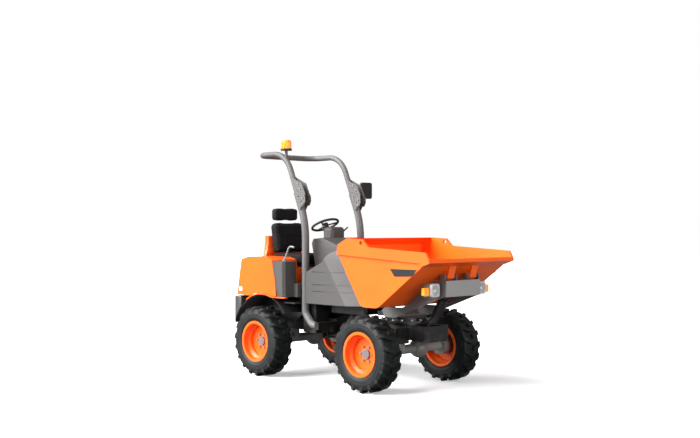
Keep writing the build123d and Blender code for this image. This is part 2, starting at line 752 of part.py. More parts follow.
# ---------------------------------------------------------------- operator's place
def floor_plate():
    plan = [(floor_back, console_half), (200, console_half), (floor_front_x, console_nose_half)]
    plan += [(px, -py) for px, py in reversed(plan)]
    plate = prism_xy(plan, floor_z - floor_wall, floor_z)
    notch = bar_radius + 4
    for sign in (-1, 1):
        plate -= block(leg_x - notch, leg_x + notch, sign * bar_y - notch, sign * bar_y + notch, 0, 2000)
    return plate


def bulkhead():
    return block(floor_back - 6, floor_back, -pod_inner + 1, pod_inner - 1, floor_z - floor_wall, 905)


def hydraulic_tank():
    (x0, y0, z0), (x1, y1, z1) = tank_box
    tank = block(x0, x1, y0, y1, z0, z1)
    return fillet(tank.edges().filter_by(Axis.Z), 40)


def side_step(side):
    step = block(floor_back, leg_x - bar_radius - 6, console_half, ledge_half + 40, floor_z - 14, floor_z)
    return step if side > 0 else mirrored(step)


def pod_parts(w):
    """Tall outer box and low inner box of one side; w moves their walls inwards."""
    back = pod_back[1][0] + w
    tall = [(back - 100, body_half - w), (pod_front - 27, body_half - w), (pod_front - w, body_half - 25 - w),
            (pod_front - w, pod_step + w), (back - 100, pod_step + w)]
    low = [(back, ledge_half - w), (ledge_front - w, ledge_half - w), (ledge_front - w, pod_inner + w), (back, pod_inner + w)]
    bottom = pod_bottom - (1 if w else 0)
    return prism_xy(tall, bottom, pod_top - w) + prism_xy(low, bottom, ledge_z - w)


def seat_base_side(side):
    w = 6
    (top_x, top_z), (low_x, low_z) = pod_back
    cut = [(top_x, top_z), (low_x, low_z), (low_x, 700), (0, 700), (0, top_z)]
    pod = pod_parts(0) & prism_xz(cut, 0, 700)
    pod -= pod_parts(w) & prism_xz([(px + w, pz) for px, pz in cut], 0, 700)
    pod += block(low_x + 8, ledge_front, pod_inner, pod_inner + w, floor_z, pod_bottom + 1)
    return pod if side > 0 else mirrored(pod)


def side_tank(side):
    tank = block(-556, rear_frame_front - 62, frame_half_width, bar_y - bar_radius - 8, frame_bottom + 5, floor_z - floor_wall)
    return tank if side > 0 else mirrored(tank)


def console():
    w = console_wall
    outline = [(-430, floor_z)] + console_back + [console_top_front, console_bottom_front, (console_bottom_front[0], floor_z)]
    inner = [(-500, floor_z - 50), (-500, 1108), (-176 - 10, 1217), (-100, 1304), (-30, 1332), (console_top_front[0] - 5, 1334),
             (console_bottom_front[0] - w, console_bottom_front[1]), (console_bottom_front[0] - w, floor_z - 50)]
    shell = prism_xz(outline, -console_half, console_half) & nose_taper(0)
    skin = nose_taper(0) - nose_taper(3)
    for z in console_grooves:
        shell -= skin & block(-330, 600, -500, 500, z - 4, z + 4)
    return shell - (prism_xz(inner, -console_half + w, console_half - w) & nose_taper(w))


def nose_taper(inset):
    """Wedge that narrows the console towards the skip, parallel to its sloping front."""
    x0, z0 = console_top_front
    x1, z1 = console_bottom_front
    run = (x1 - x0) / (z0 - z1)
    front = x0 - inset
    plan = [(-2000, console_half + 5 - inset), (front - console_taper, console_half - inset), (front, console_nose_half - inset)]
    plan += [(px, -py) for px, py in reversed(plan)]
    top = 1500
    lift = top - z0
    face = Plane.XY.offset(top) * make_face(Polyline(*[(px - run * lift, py) for px, py in plan], close=True))
    span = top - 700
    return extrude(face, amount=span * sqrt(1 + run * run), dir=(run, 0, -1))


def dash_form(w):
    """Dash body on the console's sloping back with the cowl ahead of the wheel; w shrinks it for the hollow inside."""
    low = -40 if w else 0
    foot = [(px, pz + low) for px, pz in console_back[::-1]]
    rear = [(-470 + w, 1330), (dash_top[0][0] + w, dash_top[0][1])]
    crest = [(px + w / 2, pz - w) for px, pz in dash_top[1:]]
    form = prism_xz(rear + crest + foot, -dash_half + w, dash_half - w)
    (x0, y0, z0), (x1, y1, z1) = cowl_box
    cowl = block(x0 + w, x1 - w, y0 + w, y1 - w, z0 + w, z1 - w)
    return form + fillet(cowl.edges().filter_by(Axis.Z) + cowl.edges().group_by(Axis.Z)[-1], 38 - w)


def dash():
    ax = column_axis()
    start = (wheel_hub[0] - ax[0] * 400, 0, wheel_hub[1] - ax[2] * 400)
    sleeve = rod(start, ax, 42, 240)
    shell = dash_form(0) + sleeve - dash_form(6)
    top = (wheel_hub[0] - ax[0] * 160, 0, wheel_hub[1] - ax[2] * 160)
    return shell - rod(top, ax, column_radius + 13, 300)


def column_axis():
    return (-sin(radians(wheel_tilt)), 0, cos(radians(wheel_tilt)))


def steering_column():
    ax = column_axis()
    length = 160
    start = (wheel_hub[0] - ax[0] * length, 0, wheel_hub[1] - ax[2] * length)
    column = rod(start, ax, column_radius + 12, length - 60)
    column += rod(start, ax, 11, length - 20)
    return column


def steering_wheel():
    ring = wheel_rim_radius - wheel_tube_radius
    wheel = Pos(0, 0, -32) * Cylinder(34, 46, align=(Align.CENTER, Align.CENTER, Align.MIN))
    for k in range(3):
        wheel += Rot(0, 0, 90 + 120 * k) * rod((20, 0, -8), (1, 0, 0.05), 8, ring - 22)
    wheel -= Pos(0, 0, -33) * Cylinder(11 + running_gap, 14, align=(Align.CENTER, Align.CENTER, Align.MIN))
    wheel += Torus(ring, wheel_tube_radius)
    return Plane(origin=(wheel_hub[0], 0, wheel_hub[1]), z_dir=column_axis(), x_dir=(0, 1, 0)) * wheel


# ---------------------------------------------------------------- roll-over bar
def bar_point(z):
    """Centre line of the leaning stretch at a height."""
    return leg_x - (z - leg_corner_z) * tan(radians(bar_lean))


def beside_bar(z, ahead, up):
    """Point ahead of the leaning stretch's centre line and up along it from a height."""
    a = radians(bar_lean)
    return (bar_point(z) + ahead * cos(a) - up * sin(a), z + ahead * sin(a) + up * cos(a))


def swept(points, radii, radius):
    path = FilletPolyline(*points, radius=radii)
    section = Plane(origin=path @ 0, z_dir=path % 0) * Circle(radius)
    return sweep(section, path=path)


def bar_leg(side):
    """Fixed leg from its foot under the floor up to the fold."""
    x, z = fold_pivot
    end = beside_bar(fold_split_z, 0, -fold_gap / 2)
    points = [(foot_plate_x, foot_z), (leg_x + 110, foot_z), (leg_x, foot_z + 120), (leg_x, leg_corner_z), end]
    leg = swept([(px, bar_y, pz) for px, pz in points], [100, 100, 900], bar_radius)
    edge = [(x + dx, z + dz) for dx, dz in fold_leg_plate]
    outline = [beside_bar(z - 96, 10, 0)] + edge + [beside_bar(fold_split_z, 36, 2), beside_bar(fold_split_z, 6, -6)]
    for sign in (-1, 1):
        y0 = bar_y + sign * (bar_radius + 1) - fold_plate_wall / 2
        leg += prism_xz(outline, y0, y0 + fold_plate_wall)
    reach = bar_radius + 1 + fold_plate_wall / 2 + 4
    leg += cross_pin(x, z, fold_pin_radius, bar_y - reach, bar_y + reach)
    return leg if side > 0 else mirrored(leg)


def bar_hoop():
    """Upper hoop: two legs, two arms and the cross bar, with plates down to each fold's pin."""
    x, z = fold_pivot
    low_x, low_z = beside_bar(fold_split_z, 0, fold_gap / 2)
    corner_x = bar_point(bar_top_z)
    points = [(low_x, bar_y, low_z), (corner_x, bar_y, bar_top_z), (bar_back_x, bar_y, bar_top_z),
              (bar_back_x, -bar_y, bar_top_z), (corner_x, -bar_y, bar_top_z), (low_x, -bar_y, low_z)]
    hoop = swept(points, [bar_top_bend, 150, 150, bar_top_bend], hoop_radius)
    edge = [(x + dx, z + dz) for dx, dz in fold_hoop_plate]
    outline = [beside_bar(z - 1, 42, -8), (x + 20, z - 8)] + edge + [beside_bar(z + 265, 0, 0),
               beside_bar(fold_split_z, 0, fold_gap / 2 + 1), beside_bar(fold_split_z, 42, fold_gap / 2 + 1)]
    for sign in (-1, 1):
        y0 = bar_y + sign * (hoop_radius - 1) - fold_plate_wall / 2
        plate = prism_xz(outline, y0, y0 + fold_plate_wall) + cross_pin(x, z, 20, y0, y0 + fold_plate_wall)
        plate -= cross_pin(x, z, fold_pin_radius + running_gap, y0 - 1, y0 + fold_plate_wall + 1)
        hoop += both(plate)
    post_z = arm_z(beacon_x)
    return hoop + rod((beacon_x, -bar_y, post_z), (0, 0, 1), 16, beacon_seat_z - post_z)


def arm_z(x):
    """Centre line of the hoop at a place on its upper bend."""
    start = bar_point(bar_top_z) - bar_top_bend * tan(radians(90 - bar_lean) / 2)
    return bar_top_z - bar_top_bend + sqrt(bar_top_bend ** 2 - (x - start) ** 2)


def mirror_arm():
    start, out = bar_point(mirror_arm_z), mirror_y[0] + 18
    side = bar_y + hoop_radius - 0.7 + fold_plate_wall / 2
    points = [(start, side, mirror_arm_z), (start, out, mirror_arm_z), (mirror_x - 14, out, mirror_arm_z)]
    return swept(points, [20], 8)


def rear_mirror():
    head = block(mirror_x - 14, mirror_x + 14, *mirror_y, *mirror_z)
    return fillet(head.edges().filter_by(Axis.X), 25)


def hand_levers():
    """Parking brake lever on the right-hand box and the stalk beside the steering column."""
    x, y = lever_foot
    start = (x + 4, y, pod_top + 8)
    brake = swept([start, (lever_bend[0], y, lever_bend[1]), (lever_tip[0], y, lever_tip[1])], [40], 10)
    brake += rod((x + 4, y, pod_top), (0, 0, 1), 22, 14)
    x0, y1 = cowl_box[0][0], cowl_box[1][1]
    stalk = rod((x0 + 70, y1 + 3, 1500), (0, 105, 72), 8, 124)
    return brake + (stalk & block(-700, 0, y1, 400, 1300, 1700))


def beacon_base():
    return rod((beacon_x, -bar_y, beacon_seat_z), (0, 0, 1), 60, 20)


def beacon_lens():
    lens = rod((beacon_x, -bar_y, beacon_seat_z + 20), (0, 0, 1), 54, 92)
    return fillet(lens.edges().group_by(Axis.Z)[-1], 20)


def write_all():
    write_wheels()
    write("rear_frame", rear_frame())
    write("rear_axle", axle(rear_axle_x) + axle_pads(rear_axle_x, frame_half_width, frame_bottom))
    write("centre_yoke", centre_yoke())
    write("front_frame", front_frame())
    write("front_axle", axle(front_axle_x) + axle_pads(front_axle_x, frame_half_width, frame_bottom + 10))
    write("turntable", turntable())
    write("skip_carrier", carrier() + both(lamp_mount(1)))
    write("skip_rest", skip_rest())
    write("front_plate", block(carrier_nose_x, carrier_nose_x + plate_wall, -plate_half, plate_half, plate_bottom, plate_top))
    for side, name in ((-1, "right"), (1, "left")):
        write("headlamp_" + name, headlamp(side))
        write("amber_lamp_" + name, amber_lamp(side))
        write("wheel_arch_" + name, wheel_arch(side))
        write("fender_lip_" + name, fender_lip(side))
        write("side_tank_" + name, side_tank(side))
        write("seat_base_" + name, seat_base_side(side))
        write("roll_bar_leg_" + name, bar_leg(side))
    write("skip", skip_shell() + ram_clevis() + both(skip_hinge_lug()))
    for pair, name in ((steering_cylinder(), "steering"), (tipping_ram(), "tipping")):
        write(name + "_barrel", pair[0])
        write(name + "_rod", pair[1])
    write("counterweight", counterweight())
    write("engine", engine())
    write("engine_cover", engine_cover())
    write("seat_plinth", seat_plinth())
    write("seat_cushion", seat_cushion())
    write("seat_back", seat_back())
    write("headrest", headrest())
    write("floor_plate", floor_plate() + bulkhead() + both(side_step(1)))
    write("hydraulic_tank", hydraulic_tank())
    write("console", console())
    write("dash", dash())
    write("steering_column", steering_column())
    write("steering_wheel", steering_wheel())
    write("roll_bar_hoop", bar_hoop())
    write("mirror", rear_mirror() + mirror_arm())
    write("hand_levers", hand_levers())
    write("beacon_base", beacon_base())
    write("beacon_lens", beacon_lens())


write_all()
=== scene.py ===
import bpy
import bmesh
import json
from math import cos, pi, radians, sin
from mathutils import Matrix, Vector
from mathutils.bvhtree import BVHTree


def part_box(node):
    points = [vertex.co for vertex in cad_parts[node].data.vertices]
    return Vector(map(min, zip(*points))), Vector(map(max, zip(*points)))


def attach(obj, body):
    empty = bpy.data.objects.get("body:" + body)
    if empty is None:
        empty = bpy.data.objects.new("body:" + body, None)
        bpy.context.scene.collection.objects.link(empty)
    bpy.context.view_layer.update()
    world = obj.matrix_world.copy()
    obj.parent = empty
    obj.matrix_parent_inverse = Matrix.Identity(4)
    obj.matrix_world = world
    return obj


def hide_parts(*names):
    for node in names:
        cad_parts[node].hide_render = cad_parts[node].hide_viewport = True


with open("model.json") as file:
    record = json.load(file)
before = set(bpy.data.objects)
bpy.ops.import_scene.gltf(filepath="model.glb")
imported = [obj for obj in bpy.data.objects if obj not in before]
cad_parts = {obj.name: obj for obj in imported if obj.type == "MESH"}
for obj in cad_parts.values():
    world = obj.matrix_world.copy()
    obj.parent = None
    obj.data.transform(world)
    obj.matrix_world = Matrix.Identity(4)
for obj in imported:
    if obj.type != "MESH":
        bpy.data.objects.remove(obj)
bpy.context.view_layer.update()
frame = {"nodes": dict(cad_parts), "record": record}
nodes = frame["nodes"]

# ---------------------------------------------------------------- viewpoint
# A standing person's view of the machine's right front quarter, from about ten metres off.
view_turn = radians(46.3)
view_rise = 0.0079
camera = bpy.data.objects.new("camera", bpy.data.cameras.new("camera"))
bpy.context.scene.collection.objects.link(camera)
camera.location = (7.547, -7.425, 1.573)
look = Vector((-sin(view_turn), cos(view_turn), view_rise))
camera.rotation_euler = look.to_track_quat("-Z", "Y").to_euler()
camera.data.lens = 52.65
camera.data.sensor_width = 36
bpy.context.scene.camera = camera
bpy.context.scene.view_settings.view_transform = "Standard"


# ---------------------------------------------------------------- materials
# What the machine is made of. Each finish drifts a little in tone and gloss over its surface.
# Patterns are laid out in the machine's own metres, so they keep one size from piece to piece.
class Wire:
    """A value in a material being wired up: sums on it add the maths nodes."""

    def __init__(self, tree, end=None):
        self.tree, self.end = tree, end

    def node(self, kind, settings, inputs, out=0):
        """Adds a node with its settings and its sockets' values or wires; gives one output."""
        made = self.tree.nodes.new(kind)
        for key, value in settings.items():
            setattr(made, key, value)
        for key, value in inputs.items():
            socket = made.inputs[key]
            if isinstance(value, Wire):
                self.tree.links.new(value.end, socket)
            else:
                socket.default_value = value
        return Wire(self.tree, made.outputs[out])

    def maths(self, operation, a, b):
        return self.node("ShaderNodeMath", {"operation": operation}, {0: a, 1: b})

    def __add__(self, other):
        return self.maths("ADD", self, other)

    def __rsub__(self, other):
        return self.maths("SUBTRACT", other, self)

    def __mul__(self, other):
        return self.maths("MULTIPLY", self, other)

    def between(self, low, high):
        """0 below low, 1 above high, smooth in between."""
        return self.node("ShaderNodeMapRange", {"interpolation_type": "SMOOTHSTEP"},
                         {0: self, 1: low, 2: high})

    def tint(self, first, second):
        """The first colour where this is 0, the second where it is 1."""
        return self.node("ShaderNodeMix", {"data_type": "RGBA"}, {0: self, 6: first, 7: second}, 2)

    def place(self):
        return self.node("ShaderNodeTexCoord", {}, {}, "Object")

    def along(self, axis):
        """How far along x, y or z (0, 1 or 2) a point of the surface is, in metres."""
        return self.node("ShaderNodeSeparateXYZ", {}, {0: self.place()}, axis)

    def noise(self, scale, detail=3.0):
        return self.node("ShaderNodeTexNoise", {},
                         {"Vector": self.place(), "Scale": scale, "Detail": detail}, "Fac")

    def wave(self, scale, along):
        return self.node("ShaderNodeTexWave", {"bands_direction": along},
                         {"Vector": self.place(), "Scale": scale}, "Fac")

    def bump(self, depth, strength):
        return self.node("ShaderNodeBump", {},
                         {"Height": self, "Distance": depth, "Strength": strength}, "Normal")

    def seen(self):
        """1 for what the camera sees straight, 0 for what only lights other surfaces."""
        return self.node("ShaderNodeLightPath", {}, {}, "Is Camera Ray")


def colour(r, g, b):
    return (r, g, b, 1.0)


def material(name, wires, **fixed):
    """A Principled surface: wires(start) gives its varying sockets, fixed its plain ones."""
    made = bpy.data.materials.new(name)
    made.use_nodes = True
    tree = made.node_tree
    shader = tree.nodes["Principled BSDF"]
    for key, value in fixed.items():
        shader.inputs[key.replace("_", " ")].default_value = value
    for key, value in wires(Wire(tree)).items():
        tree.links.new(value.end, shader.inputs[key])
    return made


def enamel(light, dark, dust=0.12, peel=0.3, matt=0.24):
    """Sprayed paint: drift between two tones, orange peel, small chips and dust low down."""
    chipped = colour(*[0.5 * c + 0.05 for c in dark[:3]])
    dust_brown = colour(0.22, 0.19, 0.16)

    def wires(start):
        patches = start.noise(2.3, 4.0)
        worn = start.noise(40.0, 5.0).between(0.70, 0.80) * 0.5
        low_down = 1 - start.along(2).between(0.2, 0.9)
        dusty = low_down * start.noise(11.0, 6.0).between(0.45, 0.7) * dust
        base = worn.tint(patches.between(0.35, 0.7).tint(light, dark), chipped)
        return {"Base Color": dusty.tint(base, dust_brown),
                "Roughness": patches * 0.12 + dusty * 0.6 + worn * 0.3 + matt,
                "Normal": start.noise(300.0, 2.0).bump(0.0001, peel)}
    return wires


def moulded(light, dark, grain=700.0):
    """Moulded plastic: a leathery grain, with a faint drift in tone."""
    def wires(start):
        patches = start.noise(3.1, 3.0)
        scuffs = start.noise(55.0, 6.0).between(0.62, 0.75) * 0.3
        return {"Base Color": (patches + scuffs).between(0.35, 0.95).tint(light, dark),
                "Roughness": patches * 0.15 + scuffs * 0.2 + 0.46,
                "Normal": start.noise(grain, 2.0).bump(0.0002, 0.5)}
    return wires


def rubber_wires(start):
    """Rubber: matt black, with a grey bloom in places and a fine moulded skin."""
    bloom = start.noise(6.0, 5.0).between(0.45, 0.75)
    return {"Base Color": bloom.tint(colour(0.0045, 0.0058, 0.0062), colour(0.010, 0.011, 0.0115)),
            "Roughness": bloom * 0.15 + 0.55,
            "Normal": start.noise(420.0, 3.0).bump(0.0006, 0.4)}


def fabric_wires(start):
    """Seat cloth: fine crossed ribs, with a slight drift in tone."""
    ribs = start.wave(210.0, "Y") + start.wave(210.0, "Z")
    drift = start.noise(7.0, 4.0)
    black_cloth, grey_cloth = colour(0.0035, 0.0035, 0.004), colour(0.007, 0.007, 0.008)
    return {"Base Color": drift.between(0.3, 0.75).tint(black_cloth, grey_cloth),
            "Roughness": drift * 0.1 + 0.72,
            "Normal": (ribs + start.noise(900.0) * 0.6).bump(0.0008, 0.5)}


def amber_wires(start):
    """Clear amber plastic with upright prisms moulded into it."""
    ribs = start.wave(38.0, "Y") + start.wave(38.0, "X")
    deep, pale = colour(1.0, 0.23, 0.0), colour(1.0, 0.42, 0.02)
    return {"Base Color": ribs.between(0.4, 1.6).tint(deep, pale),
            "Roughness": start.noise(30.0) * 0.1 + 0.12,
            "Normal": ribs.bump(0.002, 0.7)}


def tread_plate_wires(start):
    """Floor sheet with raised studs in rows."""
    studs = start.wave(14.0, "X") * start.wave(14.0, "Y")
    worn = start.noise(12.0, 5.0).between(0.45, 0.7)
    return {"Base Color": worn.tint(colour(0.030, 0.030, 0.030), colour(0.055, 0.053, 0.051)),
            "Roughness": worn * 0.2 + 0.4,
            "Normal": studs.between(0.55, 0.8).bump(0.002, 0.8)}


orange = material("orange enamel", enamel(colour(0.94, 0.124, 0.008), colour(0.91, 0.108, 0.006)),
                  Coat_Weight=0.08, Coat_Roughness=0.2, Specular_IOR_Level=0.35)
bar_grey = material("bar enamel", enamel(colour(0.115, 0.111, 0.108), colour(0.102, 0.098, 0.096),
                                         peel=0.05, matt=0.45), Specular_IOR_Level=0.4)
plate_grey = material("plate enamel", enamel(colour(0.32, 0.315, 0.31), colour(0.29, 0.286, 0.282)),
                      Coat_Weight=0.1)
weight_grey = material("weight enamel", enamel(colour(0.050, 0.048, 0.048),
                                               colour(0.042, 0.040, 0.040), dust=0.2))
plastic = material("grey moulding", moulded(colour(0.052, 0.048, 0.047),
                                            colour(0.044, 0.041, 0.040)))
black = material("black moulding", moulded(colour(0.006, 0.006, 0.006),
                                           colour(0.010, 0.010, 0.010), grain=900.0))
chassis = material("chassis enamel", enamel(colour(0.010, 0.010, 0.0105),
                                            colour(0.007, 0.007, 0.007), dust=0.25))
cast = material("cast housing", enamel(colour(0.24, 0.236, 0.228), colour(0.13, 0.128, 0.122),
                                       dust=0.3, peel=0.8))
bright = material("bright steel", enamel(colour(0.30, 0.30, 0.295), colour(0.24, 0.24, 0.235),
                                         dust=0.1, peel=0.1, matt=0.34), Metallic=1.0)
rubber = material("tyre rubber", rubber_wires, Specular_IOR_Level=0.3)
fabric = material("seat cloth", fabric_wires, Specular_IOR_Level=0.2)
amber = material("amber lens", amber_wires, Coat_Weight=0.6,
                 Emission_Color=colour(1.0, 0.28, 0.0), Emission_Strength=0.22)
tread_plate = material("floor sheet", tread_plate_wires, Metallic=0.3)
finishes = {"tyre": rubber, "rim_paint": orange, "hub_steel": bright, "chassis_paint": chassis,
            "body_orange": orange, "weight_grey": weight_grey, "plastic_grey": plastic,
            "plastic_black": black, "seat_vinyl": fabric, "lamp_glass": plate_grey,
            "amber": amber, "steel": chassis, "iron": chassis}


def dress(finish, *names):
    """Gives CAD nodes a material."""
    for name in names:
        for place in nodes[name].material_slots:
            place.material = finish


for part in frame["record"]["subparts"]:
    dress(finishes[part["material_slot"]], part["node"])


# ---------------------------------------------------------------- studio
# A white floor that keeps the machine's shadow, a broad key from its right rear, a low fill from
# its front, and a plain sky that is brighter to the camera than to the machine.
def sun(name, place, aim, energy, spread):
    """A broad light from a place towards an aim; spread is its width in degrees."""
    data = bpy.data.lights.new(name, "SUN")
    data.energy = energy
    data.angle = radians(spread)
    made = bpy.data.objects.new(name, data)
    made.location = place
    made.rotation_euler = (Vector(aim) - Vector(place)).to_track_quat("-Z", "Y").to_euler()
    bpy.context.scene.collection.objects.link(made)


sun("key", (-3.2, -6.4, 5.6), (0, 0, 0.6), energy=10.5, spread=60)
sun("fill", (6.0, -1.2, 0.9), (0, 0, 0.4), energy=2.3, spread=50)

sky_to_camera, sky_to_machine = 1.0, 0.36
world = bpy.data.worlds.new("sky")
world.use_nodes = True
bpy.context.scene.world = world
sky = Wire(world.node_tree).seen() * (sky_to_camera - sky_to_machine) + sky_to_machine
background = world.node_tree.nodes["Background"]
world.node_tree.links.new(sky.end, background.inputs["Strength"])
background.inputs["Color"].default_value = colour(1, 1, 1)


def floor_wires(start):
    """White to the camera and mid grey to the machine above it."""
    seen = start.seen()
    return {"Base Color": seen.tint(colour(0.13, 0.13, 0.13), colour(0.86, 0.86, 0.87)),
            "Emission Color": seen.tint(colour(0, 0, 0), colour(0.33, 0.33, 0.33))}


floor_reach = 40
floor_corners = [(x * floor_reach, y * floor_reach, 0)
                 for x, y in ((-1, -1), (1, -1), (1, 1), (-1, 1))]
ground_mesh = bpy.data.meshes.new("floor")
ground_mesh.from_pydata(floor_corners, [], [(0, 1, 2, 3)])
ground_mesh.materials.append(material("floor", floor_wires, Roughness=0.9, Emission_Strength=1.0))
ground = bpy.data.objects.new("floor", ground_mesh)
bpy.context.scene.collection.objects.link(ground)


# ---------------------------------------------------------------- making pieces
# What the sections below share: rings of vertices joined by bands of faces, and the step that
# turns a finished mesh into a piece that moves with one of the machine's bodies.
def middle_of(node):
    """The middle of a node's box at rest."""
    return [(a + b) / 2 for a, b in zip(*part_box(node))]


def turns(steps, start=0):
    """Angles evenly spaced round a circle; start is how many steps on the first one is."""
    return [2 * pi * (k + start) / steps for k in range(steps)]


def ring_at(shape, x, middle, steps, reach):
    """A closed ring of vertices at one x, reach(angle) out from a middle given as (y, z)."""
    return [shape.verts.new((x, middle[0] + reach(a) * cos(a), middle[1] + reach(a) * sin(a)))
            for a in turns(steps)]


def bridged(shape, rings):
    """Joins each closed ring of vertices to the next with a band of faces; gives the bands."""
    return [[shape.faces.new((first[k - 1], first[k], second[k], second[k - 1]))
             for k in range(len(first))] for first, second in zip(rings, rings[1:])]


def finished(shape, name):
    """The bmesh as a mesh, its faces turned outwards."""
    bmesh.ops.recalc_face_normals(shape, faces=shape.faces)
    mesh = bpy.data.meshes.new(name)
    shape.to_mesh(mesh)
    shape.free()
    return mesh


def piece(name, mesh, body, finish, angle=35):
    """A mesh made into a piece that rides on a body; edges sharper than the angle stay crisp."""
    made = bpy.data.objects.new(name, mesh)
    bpy.context.scene.collection.objects.link(made)
    if not mesh.materials:
        mesh.materials.append(finish)
    mesh.shade_smooth()
    mesh.set_sharp_from_angle(angle=radians(angle))
    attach(made, body)
    return made


# ---------------------------------------------------------------- tyres
# Rubber block-tread tyres: a turned carcass with raised rings on its sides, and slanted lugs,
# half a pitch apart on the two halves of the tread, that run down over the shoulders. Each rides
# with its wheel.
tyre_low, tyre_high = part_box("tyre_front_right")
tyre_radius = (tyre_high[0] - tyre_low[0]) / 2
carcass_steps = 96
# half widths and radii, from the bead out over the side to the crown
sidewall = [(0.105, 0.195), (0.106, 0.217), (0.111, 0.224), (0.117, 0.238), (0.1195, 0.256),
            (0.1195, 0.264), (0.1175, 0.266), (0.1175, 0.272), (0.1195, 0.274), (0.1190, 0.296),
            (0.1170, 0.299), (0.1150, 0.316), (0.1090, 0.332), (0.0960, 0.341), (0.050, 0.344)]
lug_count = 18
lug_stations = 8
lug_inner, lug_outer = -0.005, 0.1175  # from the tyre's centre plane
lug_lead, lug_slant, lug_bow = 0.014, 0.050, 0.012
lug_foot, lug_face = 0.026, 0.0185  # half widths
lug_inset = 0.0006
lug_height, lug_height_gain = 0.028, 0.012
shoulder_width, shoulder_drop = 0.0245, 0.026


def lug_ring(shape, way, turn, t):
    """Four corners across a lug at a place t along it, from the crown out over the shoulder."""
    out = lug_inner + (lug_outer - lug_inner) * t
    lead = lug_lead - lug_slant * t + lug_bow * sin(pi * t)
    over = 1 - min(1.0, (lug_outer - out) / shoulder_width)
    top = tyre_radius - lug_inset - over * shoulder_drop
    base = top - lug_height - over * lug_height_gain
    ring = []
    for side, radius, half in ((-1, base, lug_foot), (-1, top, lug_face),
                               (1, top, lug_face), (1, base, lug_foot)):
        angle = turn + (lead + side * half) / tyre_radius
        ring.append(shape.verts.new((radius * sin(angle), way * out, radius * cos(angle))))
    return ring


def tyre_mesh():
    """The carcass and its lugs, turned about the y axis."""
    shape = bmesh.new()
    profile = sidewall + [(-y, r) for y, r in reversed(sidewall)]
    rings = [[shape.verts.new((r * sin(a), y, r * cos(a))) for a in turns(carcass_steps)]
             for y, r in profile]
    bridged(shape, rings + rings[:1])
    for k in range(2 * lug_count):
        way = 1 if k % 2 else -1
        turn = pi * k / lug_count
        lug = [lug_ring(shape, way, turn, s / (lug_stations - 1)) for s in range(lug_stations)]
        for first, second in zip(lug, lug[1:]):
            for c in range(3):
                shape.faces.new((first[c], first[c + 1], second[c + 1], second[c]))
        shape.faces.new(lug[0])
        shape.faces.new(lug[-1][::-1])
    return finished(shape, "tyre")


tyre_shape = tyre_mesh()
for corner in ("front_right", "front_left", "rear_right", "rear_left"):
    mesh = tyre_shape.copy()
    mesh.transform(Matrix.Translation(middle_of("tyre_" + corner)))
    made = piece("tyre_rubber_" + corner, mesh, "wheel_" + corner, rubber, angle=28)
    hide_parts("tyre_" + corner)


# ---------------------------------------------------------------- body mouldings
# Engine cover, side boxes, console, dash and rear weight: the CAD's own forms with their long
# edges rounded, as rotational moulding and casting leave them. Orange or grey, each fixed where
# its node is.
weld_distance = 0.00005
flat_angle, edge_angle = radians(1.0), radians(14)
wide_enough, long_enough = 2.2, 2.5  # times the rounding's radius


def softened(name, body, finish, radius, steps=3):
    """Stands for a node: its mesh with the edges between wide faces rounded off."""
    mesh = bpy.data.meshes.new_from_object(nodes[name])
    mesh.materials.clear()
    shape = bmesh.new()
    shape.from_mesh(mesh)
    bmesh.ops.remove_doubles(shape, verts=shape.verts, dist=weld_distance)
    bmesh.ops.dissolve_limit(shape, angle_limit=flat_angle, verts=shape.verts, edges=shape.edges)

    def wide(face):
        return face.calc_area() / max(e.calc_length() for e in face.edges) > wide_enough * radius

    picked = [e for e in shape.edges
              if len(e.link_faces) == 2 and e.calc_length() > long_enough * radius
              and e.calc_face_angle(0) > edge_angle and all(wide(f) for f in e.link_faces)]
    bmesh.ops.bevel(shape, geom=picked, offset=radius, offset_type="OFFSET", segments=steps,
                    profile=0.5, affect="EDGES", clamp_overlap=True)
    made = piece(name + "_skin", finished(shape, name + "_skin"), body, finish, angle=32)
    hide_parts(name)


softened("engine_cover", "cover_and_seat", orange, radius=0.024, steps=4)

# A small blank label with its corners cut off, stuck flat on the right side of the engine cover.
label = material("blank label", moulded(colour(0.80, 0.80, 0.79), colour(0.72, 0.72, 0.71)),
                 Coat_Weight=0.3)
label_across, label_up, label_cut = 0.026, 0.022, 0.006  # half sizes, and the corners' cut
label_lift, label_wall = 0.0006, 0.0005
label_aim, inwards = Vector((-1.312, -1.0, 0.905)), Vector((0, 1, 0))
cover = nodes["engine_cover"].data
surface = BVHTree.FromPolygons([v.co for v in cover.vertices],
                               [f.vertices for f in cover.polygons])
spot, normal = surface.ray_cast(label_aim, inwards)[:2]
turn = normal.to_track_quat("Z", "Y").to_matrix().to_4x4()
on_cover = Matrix.Translation(spot + label_lift * normal) @ turn
corners = [(label_across, label_up - label_cut), (label_across - label_cut, label_up)]
corners += [(-x, y) for x, y in reversed(corners)]
corners += [(-x, -y) for x, y in corners]
shape = bmesh.new()
top = [shape.verts.new(on_cover @ Vector((x, y, 0))) for x, y in corners]
foot = [shape.verts.new(v.co - label_wall * normal) for v in top]
bridged(shape, [foot, top])
shape.faces.new(top)
piece("cover_label", finished(shape, "label"), "cover_and_seat", label)

for side in ("right", "left"):
    softened("seat_base_" + side, "rear_chassis", plastic, radius=0.014)
softened("console", "rear_chassis", plastic, radius=0.026, steps=4)
softened("dash", "rear_chassis", plastic, radius=0.032, steps=5)
softened("counterweight", "rear_chassis", weight_grey, radius=0.012)


# ---------------------------------------------------------------- skip
# Welded sheet skip in orange enamel. A black slanted bar is painted on each side plate near the
# front; its corners follow the side plate's own slope. The maker's lettering behind it is left
# off.
skip_corner = (1.444, 1.307)  # the skip's front top corner, as x and z
